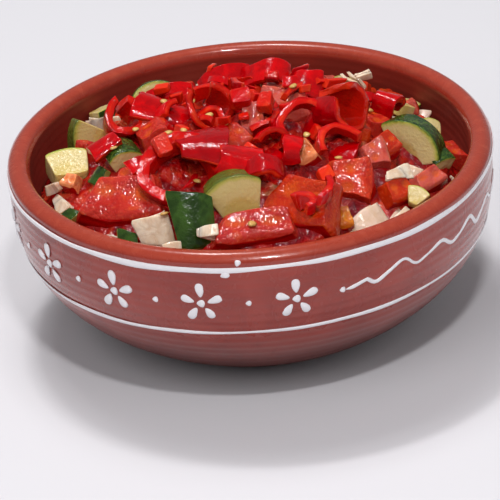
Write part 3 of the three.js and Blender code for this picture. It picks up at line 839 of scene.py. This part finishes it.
def curvedStrip(radius, sweep, wall, width, tone, taper=0.0, square=stripFinish["squareness"]):
    # part of a ring: a rounded rectangle, wall by width, carried round an arc that winds in
    # or out a little, grows or narrows, waves up and down and ends in crisp slanting cuts;
    # taper is the share of its width that it loses towards its narrow end
    steps = max(12, int(sweep / stripFinish["step"]))
    edge = stripFinish["edge"] / (radius * math.radians(sweep / 2))
    end = edge * (1 - np.cos(np.linspace(0, math.pi / 2, 4)[:3]))
    middle = np.linspace(edge - 1, 1 - edge, steps - 6)
    along = np.concatenate([end - 1, middle, 1 - end[::-1]])[:, None]
    angle = along * math.radians(sweep / 2)
    inset = np.array([1, 0.5, 0.13]) * 2 * stripFinish["edge"] / wall
    size = 1 - mirrored(inset, np.zeros(steps - 6))[:, None]
    turn = aroundCircle(stripFinish["columns"])[None, :]
    inOut = np.sign(np.cos(turn)) * np.abs(np.cos(turn)) ** square
    upDown = np.sign(np.sin(turn)) * np.abs(np.sin(turn)) ** square
    wind, grow, slant, flare = (math.sin(tone * pace) for pace in (31, 47, 61, 83))
    lobes = 1 + 0.07 * np.sin(3 * angle + tone * 30) + 0.05 * np.sin(2 * angle + tone * 70)
    middle = (radius - wall / 2) * (lobes + 0.08 * wind * along) + 0.12 * width * upDown * flare
    reach = middle + size * wall / 2 * inOut
    shift = radius - wall / 2 if sweep < stripFinish["ringSweep"] else 0
    wave = 0.06 * radius * np.sin(2 * angle + tone * 20)
    tall = width / 2 * (1 + 0.2 * grow * along + 0.06 * np.sin(5 * angle + tone * 60))
    tall = tall * (1 - taper * (0.5 - 0.5 * along) ** 1.5)
    bend = angle + 0.35 * slant * upDown * tall / radius * along ** 2
    level = size * tall * upDown + wave
    rows = zipped(reach * np.sin(bend), shift - reach * np.cos(bend), level)
    rows += ripple(rows, 5.5, 0.09 * wall, tone * 80)
    marks = {
        "outer": smoothStep(0.5, 0.8, inOut) * (size > 0.98),
        "inner": smoothStep(-0.5, -0.8, inOut) * (size > 0.98),
        "along": np.degrees(angle) / 30 + 5 * tone,
        "tone": tone,
    }
    return closedSkin(rows, marks)


def onionPiece(radius, sweep, wall, width, tone):
    # thin layers, one inside the other; each is shorter than the next one inwards
    shape = onionLayers
    layers = []
    thin = wall / shape["count"]
    for n in range(shape["count"]):
        share = 1 - shape["step"] * (shape["count"] - 1 - n)
        layer = curvedStrip(
            radius - n * thin, sweep * share, shape["fill"] * thin, width * share,
            (tone + 0.3 * n) % 1, shape["taper"], shape["squareness"],
        )
        layer.points += [0.05 * width * math.sin(9 * n + tone * 50), (n + 0.5) * thin - wall / 2, 0]
        layers.append(layer)
    return joined(layers)


def pepperDie(size, tone):
    # a small block of the wall, its skin below
    length, depth, thick = size
    corners = np.array([[-1, -0.9], [0.9, -1], [1, 1], [-0.85, 0.9]]) * [length / 2, depth / 2]
    corners[1:3, 0] *= 1 + 0.3 * math.sin(tone * 44)
    corners[:2, 1] *= 1 + 0.3 * math.sin(tone * 71)
    outline = roundedOutline(corners, dieFinish["columns"], dieFinish["softness"])
    rows, _, level = slab(outline, thick, dieFinish["edge"], dieFinish["bulge"], dieFinish["keep"])
    rows += ripple(rows, 1.6 * length, 0.05 * length, tone * 40)
    rows[..., 2] *= 1 + 0.3 * math.sin(tone * 53) * rows[..., 0] / length * 2
    skin = smoothStep(-0.5, -0.9, 2 * level / thick)
    marks = {"outer": skin, "inner": 0.0, "along": tone, "tone": tone}
    return closedSkin(rows, marks)


def seedForm(length, tone):
    # a flat drop: a circle drawn to a blunt point, thickest in the middle
    around = aroundCircle(8)
    reach = np.array([0.6, 1.0, 0.6])[:, None]
    level = np.array([-0.5, 0, 0.5])[:, None] * 0.28 * length
    rows = zipped(
        0.5 * length * reach * np.cos(around),
        0.4 * length * reach * np.sin(around) * (1 - 0.25 * np.cos(around)),
        level + 0.1 * length * np.cos(around) * (1 - reach),
    )
    return closedSkin(rows, {"tone": tone}, [0, 0, level[0, 0]], [0, 0, level[-1, 0]])


tintNames = {"ripe": 0.0, "warm": 0.2, "orange": 0.4, "golden": 0.6, "salmon": 0.8, "pink": 1.0}
goldenAngle = math.radians(137.508)


def onSpiral(i, reach, back=0):
    # a sunflower's spiral, on which each place is turned on by the golden angle
    return reach * math.cos(i * goldenAngle), back + reach * math.sin(i * goldenAngle)


def scattered(count, outer, inner=0.0):
    # places strewn evenly over a disc, or over a ring
    reach = np.sqrt(finePicks.uniform(inner ** 2, outer ** 2, count))
    around = 2 * math.pi * finePicks.random(count)
    return list(zip(reach * np.cos(around), reach * np.sin(around)))


class Salad:
    # settles every piece in turn and keeps it under its kind
    def __init__(self):
        self.heap = Heap()
        self.kinds = {"tomato": [], "cucumber": [], "green_pepper": [], "onion": [], "red_pepper": []}
        self.draws = drawing(fill["seed"])

    def between(self, low, high):
        return low + (high - low) * next(self.draws)

    def place(self, kind, form, at, turn, lean, spin=0, room=math.inf):
        form = keptInside(posed(form, at, turn, lean, spin, math.isfinite(room)))
        if self.heap.settle(form, heapShape["restShare"], room):
            self.kinds[kind].append(form)

    def chosenChunks(self):
        for n, (at, size, spin, turn, lean, tint) in enumerate(tomatoes):
            form = tomatoChunk(size, tintNames[tint], toneOf("tomato", n))
            self.place("tomato", form, at, turn, lean, spin)
        for n, (at, radius, sweep, thick, core, spin, turn, lean) in enumerate(cucumbers):
            form = cucumberSlice(radius, sweep, thick, core, toneOf("cucumber", n))
            self.place("cucumber", form, at, turn, lean, spin)
        self.strips("green_pepper", greenPeppers)
        self.strips("onion", onions)

    def dicedPepper(self):
        for n, (at, size, turn, lean) in enumerate(dice):
            self.place("red_pepper", pepperDie(size, toneOf("die", n)), at, turn, lean)

    def smallPieces(self):
        # small pieces that have no solid of their own, in what hollows are left round the heap
        shape = smallChunks
        for n, at in enumerate(scattered(shape["count"], shape["outer"], shape["inner"])):
            if at[1] < shape["front"] or not self.heap.hollow(at):
                continue
            side, tone = finePicks.uniform(*shape["size"]), finePicks.random()
            size = (side, 0.85 * side, 0.6 * side)
            kind, form = [
                ("tomato", tomatoChunk(size, 0.0, tone, shape["columns"])),
                ("onion", curvedStrip(side, 60, 2, 0.6 * side, tone, 0.4)),
                ("tomato", tomatoChunk(size, 0.3, tone, shape["columns"])),
                ("red_pepper", curvedStrip(side, 60, 2.4, 0.7 * side, tone)),
                ("cucumber", cucumberSlice(side, 70, 0.6 * side, 1, tone, shape["columns"])),
                ("tomato", tomatoChunk(size, 1.0, tone, shape["columns"])),
            ][n % 6]
            turn, lean = finePicks.uniform(0, 360), finePicks.uniform(-35, 35)
            self.place(kind, form, at, turn, lean, room=heapShape["layerDepth"])

    def bits(self):
        # slivers and small dice that have no solid of their own
        for n, at in enumerate(scattered(smallBits["count"], smallBits["spread"])):
            long, wide, tall = finePicks.uniform(*smallBits["side"], 3)
            tone = finePicks.random()
            if n % 4:
                form = curvedStrip(2.6 * long, finePicks.uniform(30, 75), 2.2, wide, tone)
            else:
                form = pepperDie((1.4 * long, wide, 0.7 * tall), tone)
            turn, lean = finePicks.uniform(0, 360), finePicks.uniform(-70, 40)
            self.place("red_pepper", form, at, turn, lean, room=smallBits["room"])

    def strips(self, kind, pieces):
        shape = onionPiece if kind == "onion" else curvedStrip
        for n, (at, radius, sweep, wall, width, turn, lean) in enumerate(pieces):
            form = shape(radius, sweep, wall, width, toneOf("strip", n, 0.1))
            self.place(kind, form, at, turn, lean)

    def fillChunks(self):
        # into each hollow, on a spiral from the rim inwards: tomato, cucumber, onion and
        # tomato in turn, with pepper for the cucumber and onion near the middle
        for i in range(fill["chunks"]):
            reach = fill["chunkSpread"] * math.sqrt((fill["chunks"] - i) / fill["chunks"])
            at = onSpiral(i, reach)
            grow, turn, lean = self.between(0.6, 1.1), self.between(0, 360), self.between(-25, 25)
            if not self.heap.hollow(at):
                continue
            tone = toneOf("fill", i)
            tint = [0.0, 0.2, 0.0, 0.4, 1.0][i % 5]
            kind, form = [
                ("tomato", tomatoChunk((20 * grow, 16 * grow, 9 * grow), tint, tone)),
                ("cucumber", cucumberSlice(14 * grow, 95, 8, 1.5, tone)),
                ("onion", onionPiece(14 * grow, 70, 3, 9 * grow, tone)),
                ("tomato", tomatoChunk((15 * grow, 13 * grow, 8 * grow), tint, tone)),
            ][i % 4]
            if reach < 45 and kind != "tomato":
                kind, form = "red_pepper", curvedStrip(11 * grow, 120, 3, 10 * grow, tone)
            self.place(kind, form, at, turn, lean, room=heapShape["layerDepth"])

    def pepperRings(self):
        for i in range(fill["rings"]):
            reach = fill["ringSpread"] * math.sqrt((i + 0.5) / fill["rings"])
            at = onSpiral(i, reach, 2)
            grow, turn = self.between(0.8, 1.3), self.between(0, 360)
            sweep, lean = self.between(90, 260), self.between(-35, 35)
            tone = toneOf("fill", i)
            if i % 2:
                form = curvedStrip(10 * grow, 0.4 * sweep, 2.5, 10 * grow, tone)
                lean -= 60
            else:
                form = curvedStrip(6 * grow, sweep, 2.5, 4.5 * grow, tone)
            self.place("red_pepper", form, at, turn, lean, room=heapShape["layerDepth"])
        self.strips("red_pepper", redPeppers)


coreRelief = {"columns": 220, "rings": 84, "share": 0.62, "below": 2.0, "smoothing": 3}


def coreForm(heap):
    # the inside of the bowl a little clear of the wall; its top follows the heap's height map,
    # smoothed and lowered, so that it shows only as chopped bits between the pieces
    gap = 2 * heapShape["fitGap"]
    levels = np.linspace(bowlShape["floorHeight"] + gap, heapShape["coreEdge"], 16)
    angle = aroundCircle(coreRelief["columns"])[None, :]
    shares = np.linspace(1, 0.02, coreRelief["rings"])[1:, None]
    wall = (innerWall(levels) - gap)[:, None] + 0 * angle
    reach = np.vstack([wall, wall[-1:] * shares])
    x, y = reach * np.sin(angle), -reach * np.cos(angle)
    top = coreHeight(x, y) + coreRelief["share"] * heap.lift(x, y) - coreRelief["below"]
    height = np.vstack([levels[:, None] + 0 * angle, top[len(levels):]])
    rows = zipped(x, y, height)
    relief = ripple(rows, 9, 0.7, 1.0)[..., 2] + ripple(rows, 3.6, 0.6, 2.0)[..., 0]
    rows[len(levels):, :, 2] += relief[len(levels):]
    return closedSkin(rows, {}, [0, 0, levels[0]])


# Finishes of the vegetables

# how rough, how strong and deep the bumps, how glossy, and the share, colour and depth in
# metres of the light that goes in and comes out again
wetLooks = {
    "core": (0.16, 0.7, 0.0016, 0.5, 0, (1.0, 0.2, 0.1), 0),
    "tomato": (0.12, 0.5, 0.0009, 0.6, 0.2, (1.0, 0.25, 0.1), 0.002),
    "cucumber": (0.2, 0.5, 0.0008, 0.5, 0.25, (1.0, 0.85, 0.45), 0.002),
    "green_pepper": (0.18, 0.5, 0.0009, 0.5, 0.05, (0.5, 1.0, 0.3), 0.002),
    "onion": (0.18, 0.45, 0.0009, 0.5, 0.5, (1.0, 0.8, 0.65), 0.003),
    "red_pepper": (0.13, 0.5, 0.001, 0.35, 0.1, (1.0, 0.08, 0.05), 0.002),
}


def wetFinish(paint, kind, body, bumps):
    # the kind's look from the table, with its own colour and bumps
    roughness, strength, deep, gloss, share, reach, scale = wetLooks[kind]
    return paint.finish(
        Base_Color=body,
        Roughness=roughness,
        Normal=paint.bump(bumps, strength, deep),
        Specular_IOR_Level=gloss,
        Subsurface_Weight=share,
        Subsurface_Radius=reach,
        Subsurface_Scale=scale,
    )


def corePaint():
    # small chopped bits in red juice: shades that drift by a cloudy noise, and painted shade darkening
    # the gaps between cells
    paint = Paint("salad_core")
    edge = paint.cells(330)
    cloud = paint.noise(150, 4, 0.8)
    fine = paint.noise(900, 3)
    body = paint.ramp(cloud, [
        (0.3, (112, 4, 8)), (0.46, (150, 8, 10)), (0.56, (176, 30, 18)),
        (0.66, (190, 66, 38)), (0.76, (200, 140, 96)),
    ])
    # painted shade in the gaps between the bits, where the bump sinks them too
    body = paint.mix(edge.between(0.5, 0.9) * 0.5, body, (84, 4, 6))
    return wetFinish(paint, "core", body, cloud * 2 + fine * 0.3 - edge * 0.6)


def tomatoPaint():
    # wet flesh tinted piece by piece, orange jelly in the pockets, glossy skin on one side
    paint = Paint("tomato")
    tint, skin, jelly = paint.mark("tint"), paint.mark("skin"), paint.mark("jelly")
    flesh = paint.ramp(tint, [
        (0.0, (182, 42, 30)), (0.2, (198, 52, 22)), (0.4, (178, 40, 8)),
        (0.6, (204, 122, 20)), (0.8, (232, 146, 94)), (1.0, (190, 82, 70)),
    ])
    grain = paint.noise(900, 4, 0.4)
    beads = paint.cells(860) ** 2 * (0.3 + 0.7 * paint.noise(140, 2).between(0.42, 0.62))
    cloud = paint.noise(170, 3, 0.8)
    vein = paint.noise(300, 5, 1.6, (1, 0.35, 1))
    body = paint.layers(flesh, [
        (cloud.between(0.52, 0.36) * 0.5, (160, 12, 6)),
        (cloud.between(0.56, 0.7) * 0.35, (216, 88, 26)),
        (vein.between(0.57, 0.68) * 0.2, (216, 96, 52)),
        (grain.between(0.58, 0.7) * 0.15, (230, 130, 90)),
        (jelly.between(0.3, 0.9) * 0.6, (202, 82, 16)),
        (skin.between(0.3, 0.7), (164, 3, 4)),
    ])
    bumps = (grain * 0.2 - beads * 0.72) * (1 - 0.8 * skin) + cloud * 0.5 + vein * 0.2 * (1 - skin)
    return wetFinish(paint, "tomato", body, bumps)


def cucumberPaint():
    # from the seeds outwards: watery middle, cream flesh, a thin green line, dark rind
    paint = Paint("cucumber")
    reach, rind = paint.mark("reach"), paint.mark("rind")
    grain = paint.noise(1000, 3)
    cloud = paint.noise(260, 3, 1.0)
    flesh = paint.ramp(reach + (cloud - 0.5) * 0.12, [
        (0.0, (202, 178, 104)), (0.4, (200, 178, 108)), (0.52, (206, 188, 132)),
        (0.86, (204, 186, 128)), (0.94, (176, 174, 80)), (0.985, (92, 114, 36)),
    ])
    dull = paint.mark("tone").between(0.4, 0.2)
    watery = (1 - reach).between(0.4, 0.9) * cloud.between(0.4, 0.7)
    streak = paint.noise(420, 3, 0.6)
    skin = paint.layers((30, 58, 16), [
        (streak.between(0.45, 0.7), (72, 96, 32)),
        (dull * 0.6, (96, 104, 34)),
    ])
    body = paint.layers(flesh, [
        (dull * 0.3, (184, 150, 70)),
        (watery * 0.5, (196, 170, 96)),
        (rind.between(0.35, 0.65), skin),
    ])
    return wetFinish(paint, "cucumber", body, grain * 0.6 + cloud)


def greenPepperPaint():
    paint = Paint("green_pepper")
    outer, inner = paint.mark("outer"), paint.mark("inner")
    cloud = paint.noise(180, 3, 0.4)
    skin = paint.mix(cloud.between(0.35, 0.7), (30, 52, 12), (52, 80, 24))
    cut = paint.mix(inner, (150, 166, 78), (116, 136, 58))
    dimples = paint.noise(700, 3)
    return wetFinish(paint, "green_pepper", paint.mix(outer, cut, skin), dimples * 0.5 + cloud)


def onionPaint():
    # glassy white flesh with faint lines along the layer, some pieces faintly pink
    paint = Paint("onion")
    tone, along = paint.mark("tone"), paint.mark("along")
    grain = paint.noise(260, 4, 0.8)
    lines = (along * 12 + grain * 4).sine()
    pink = tone.between(0.45, 0.9) * grain.between(0.3, 0.7)
    cut = (1 - paint.mark("outer")) * (1 - paint.mark("inner"))
    body = paint.layers((208, 180, 154), [
        (grain.between(0.3, 0.7), (226, 206, 184)),
        (pink * 0.5, (196, 140, 134)),
        (lines.between(0.5, 1.0) * 0.2, (206, 172, 142)),
        (cut * 0.3, (212, 180, 150)),
    ])
    return wetFinish(paint, "onion", body, lines * 0.12 + grain)


def redPepperPaint():
    # deep glossy skin outside, brighter flesh where it is cut, darker flesh along the inside
    paint = Paint("red_pepper")
    outer, inner, tone = paint.mark("outer"), paint.mark("inner"), paint.mark("tone")
    cloud = paint.noise(200, 3, 0.5)
    grain = paint.noise(800, 4)
    skin = paint.layers((156, 0, 6), [
        (cloud.between(0.3, 0.7), (196, 0, 6)),
        (tone.between(0.6, 1.0) * 0.6, (128, 0, 8)),
    ])
    body = paint.layers((186, 4, 4), [
        (tone, (212, 44, 16)),
        (cloud.between(0.5, 0.75) * 0.5, (222, 78, 36)),
        (inner * 0.7, (172, 3, 3)),
        (outer, skin),
    ])
    return wetFinish(paint, "red_pepper", body, grain * (0.5 - 0.35 * outer) + cloud)


def seedPaint():
    paint = Paint("seeds")
    tone = paint.mark("tone")
    body = paint.mix(tone, (206, 174, 104), (188, 142, 76))
    return paint.finish(Base_Color=body, Roughness=0.25, Specular_IOR_Level=0.5)


# Loose seeds of pepper and tomato: listed places first, then a scatter

seedPlaces = [
    (-27, -30), (-21, -43), (-13, -9), (-9, -7), (20, -16), (43, 4), (-29, 14), (17, 8),
    (-30, -60), (-1, -70), (30, -37),
]
seedScatter = {"count": 9, "spread": 50, "length": (2.8, 3.7)}


def seedForms(salad):
    forms = []
    for at in seedPlaces + scattered(seedScatter["count"], seedScatter["spread"]):
        form = seedForm(finePicks.uniform(*seedScatter["length"]), finePicks.random())
        posed(form, at, finePicks.uniform(0, 360), finePicks.uniform(-30, 30))
        salad.heap.settle(form, 0.3)
        forms.append(form)
    return forms


# Everything together

meshOf("bowl_body", [bowlForm()], glaze(), "glazed_earthenware", "bowl")
meshOf("bowl_slip", slipForms(), slipPaint(), "slip", "bowl")

salad = Salad()
salad.chosenChunks()
salad.fillChunks()
salad.pepperRings()
salad.dicedPepper()
salad.strips("onion", onionBranch)
salad.smallPieces()
salad.bits()
paints = {
    "tomato": tomatoPaint(),
    "cucumber": cucumberPaint(),
    "green_pepper": greenPepperPaint(),
    "onion": onionPaint(),
    "red_pepper": redPepperPaint(),
}
for kind, forms in salad.kinds.items():
    meshOf("salad_" + kind, forms, paints[kind], kind, "salad")
meshOf("salad_seeds", seedForms(salad), seedPaint(), "seeds", "salad")
meshOf("salad_core", [coreForm(salad.heap)], corePaint(), "salad", "salad")


# Floor, light and camera

studio = {
    "floor": (208, 206, 210),
    "floorSize": 6.0,
    "world": (0.95, 0.97, 1.0),
    "worldStrength": 0.2,
}
# Lights: name, place, size, power and whether they show in glossy surfaces
lights = [
    ("key", (-0.15, 0.4, 1.25), (0.5, 0.4), 7, False),
    ("glint", (-0.15, 0.4, 1.25), (0.16, 0.07), 5.5, True),
    ("front_left", (-0.6, -0.8, 1.0), (0.8, 0.8), 5.5, False),
    ("front_right", (0.8, -0.7, 0.8), (0.8, 0.8), 3, False),
    ("spark", (0.1, -0.7, 1.15), (0.12, 0.05), 6, True),
]
photoCamera = {
    "place": (0.0, -0.9843, 0.55707),
    "right": (0.99721412, -0.03368266, -0.06655436),
    "up": (0.07455947, 0.47655438, 0.87597763),
    "back": (0.00221151, -0.87849952, 0.47773811),
    "lens": 225.43,
    "sensor": 36.0,
}


def makeFloor():
    half = studio["floorSize"] / 2
    mesh = bpy.data.meshes.new("floor")
    corners = [(-half, -half, 0), (half, -half, 0), (half, half, 0), (-half, half, 0)]
    mesh.from_pydata(corners, [], [(0, 1, 2, 3)])
    paint = Paint("floor")
    mesh.materials.append(paint.finish(Base_Color=colour(*studio["floor"]), Roughness=0.6))
    floor = added("floor", mesh)


def makeLight(name, at, size, power, glints):
    # faces the bowl's foot
    data = bpy.data.lights.new(name, "AREA")
    data.shape = "RECTANGLE"
    data.size, data.size_y = size
    data.energy = power
    lamp = added(name, data)
    lamp.location = at
    lamp.visible_glossy = glints
    lamp.rotation_euler = lamp.location.to_track_quat("Z", "Y").to_euler()


def makeWorld():
    world = bpy.data.worlds.new("studio")
    world.use_nodes = True
    background = world.node_tree.nodes["Background"]
    background.inputs["Color"].default_value = (*studio["world"], 1)
    background.inputs["Strength"].default_value = studio["worldStrength"]
    bpy.context.scene.world = world


def makeCamera():
    data = bpy.data.cameras.new("camera")
    data.lens = photoCamera["lens"]
    data.sensor_width = photoCamera["sensor"]
    camera = added("camera", data)
    axes = np.array([photoCamera["right"], photoCamera["up"], photoCamera["back"]]).T
    camera.matrix_world = Matrix.Translation(photoCamera["place"]) @ Matrix(axes.tolist()).to_4x4()
    bpy.context.scene.camera = camera


makeFloor()
for light in lights:
    makeLight(*light)
makeWorld()
makeCamera()
bpy.context.scene.view_settings.view_transform = "Standard"
print("floor, lights and camera placed")
